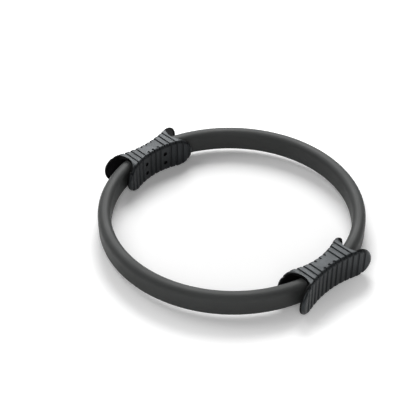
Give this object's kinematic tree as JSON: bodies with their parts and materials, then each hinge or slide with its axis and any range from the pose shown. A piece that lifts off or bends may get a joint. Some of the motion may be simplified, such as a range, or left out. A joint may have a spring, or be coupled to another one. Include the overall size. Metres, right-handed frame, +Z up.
{
  "type": "pilates ring",
  "caption": "Springy exercise hoop in a soft charcoal sleeve, with ribbed, waisted handles facing each other across it; pressing the handles together bends the hoop.",
  "frame": {"origin": "middle of the ring, on the surface that it lies on", "axes": "+Z up along the hoop's axis, +X through the handles towards the front handle, +Y across the ring towards the right sleeve"},
  "size_m": [0.4028, 0.38, 0.047],
  "materials": {
    "strip": "pultruded fibreglass, satin",
    "sleeve": "smooth closed-cell foam, matt charcoal",
    "core": "moulded plastic, matt black",
    "grip": "soft moulded rubber, matt charcoal",
    "screw": "black oxide steel"
  },
  "bodies": {
    "rear_handle": {"rear_outer_core": "core", "rear_outer_grip": "grip", "rear_inner_core": "core", "rear_inner_grip": "grip", "rear_left_screws": "screw", "rear_right_screws": "screw"},
    "front_handle": {"front_outer_core": "core", "front_outer_grip": "grip", "front_inner_core": "core", "front_inner_grip": "grip"},
    "left_bow": {"left_spring_strip": "strip", "left_sleeve": "sleeve"},
    "right_bow": {"right_spring_strip": "strip", "right_sleeve": "sleeve"},
    "left_front_end": {"front_left_screws": "screw"},
    "right_front_end": {"front_right_screws": "screw"}
  },
  "joints": [
    {"name": "squeeze", "type": "slide", "parent": "rear_handle", "child": "front_handle", "axis": [-1, 0, 0], "range_m": [-0.04, 0.09], "stiffness_N_per_m": 1700, "deforming": ["left_spring_strip", "left_sleeve", "right_spring_strip", "right_sleeve"]},
    {"name": "left_bow_bend", "type": "slide", "parent": "rear_handle", "child": "left_bow", "axis": [-0.7367, -0.6763, 0], "range_m": [-0.0276, 0.0616]},
    {"name": "right_bow_bend", "type": "slide", "parent": "rear_handle", "child": "right_bow", "axis": [-0.7367, 0.6763, 0], "range_m": [-0.0276, 0.0616]},
    {"name": "left_end_bend", "type": "slide", "parent": "left_bow", "child": "left_front_end", "axis": [-0.7367, 0.6763, 0], "range_m": [-0.0276, 0.0616]},
    {"name": "right_end_bend", "type": "slide", "parent": "right_bow", "child": "right_front_end", "axis": [-0.7367, -0.6763, 0], "range_m": [-0.0276, 0.0616]}
  ],
  "couplings": [
    {"joint": "left_bow_bend", "follows": "squeeze", "ratio": 0.67873},
    {"joint": "right_bow_bend", "follows": "squeeze", "ratio": 0.67873},
    {"joint": "left_end_bend", "follows": "squeeze", "ratio": 0.67873},
    {"joint": "right_end_bend", "follows": "squeeze", "ratio": 0.67873}
  ]
}
